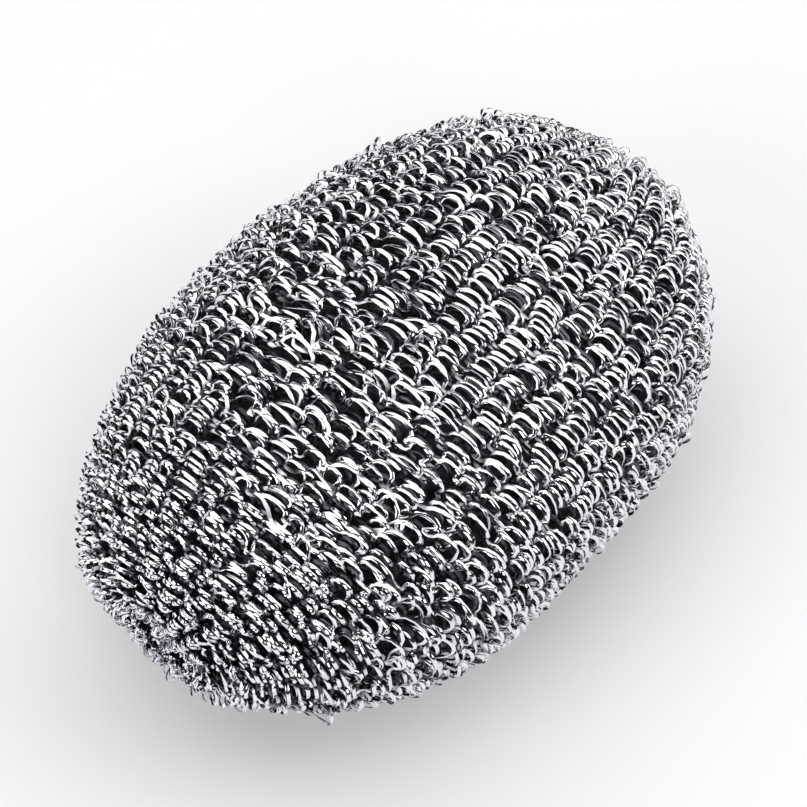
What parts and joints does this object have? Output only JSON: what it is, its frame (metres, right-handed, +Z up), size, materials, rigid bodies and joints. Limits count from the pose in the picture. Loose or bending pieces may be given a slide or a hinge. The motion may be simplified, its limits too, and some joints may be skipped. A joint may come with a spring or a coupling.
{
  "type": "pot scrubber",
  "caption": "Plump oval pot scrubber of knitted flat steel wire, with lengthwise ribs that draw together at both ends, held in the hand to scour pans.",
  "frame": {"origin": "middle of the flat on which the pad rests", "axes": "+X along the pad towards the end with the tuft, +Y across it, +Z up"},
  "size_m": [0.1042, 0.072, 0.042],
  "materials": {
    "outer_knit": "bright flat wire, knitted in open loops",
    "under_knit": "the same wire deeper in the pad, duller",
    "gathered_knit": "the same wire, bunched where the tube draws together"
  },
  "bodies": {
    "root": {"outer_sleeve": "outer_knit", "middle_sleeve": "under_knit", "inner_sleeve": "under_knit", "core_wad": "under_knit", "front_gather": "gathered_knit", "rear_gather": "gathered_knit"}
  },
  "joints": []
}
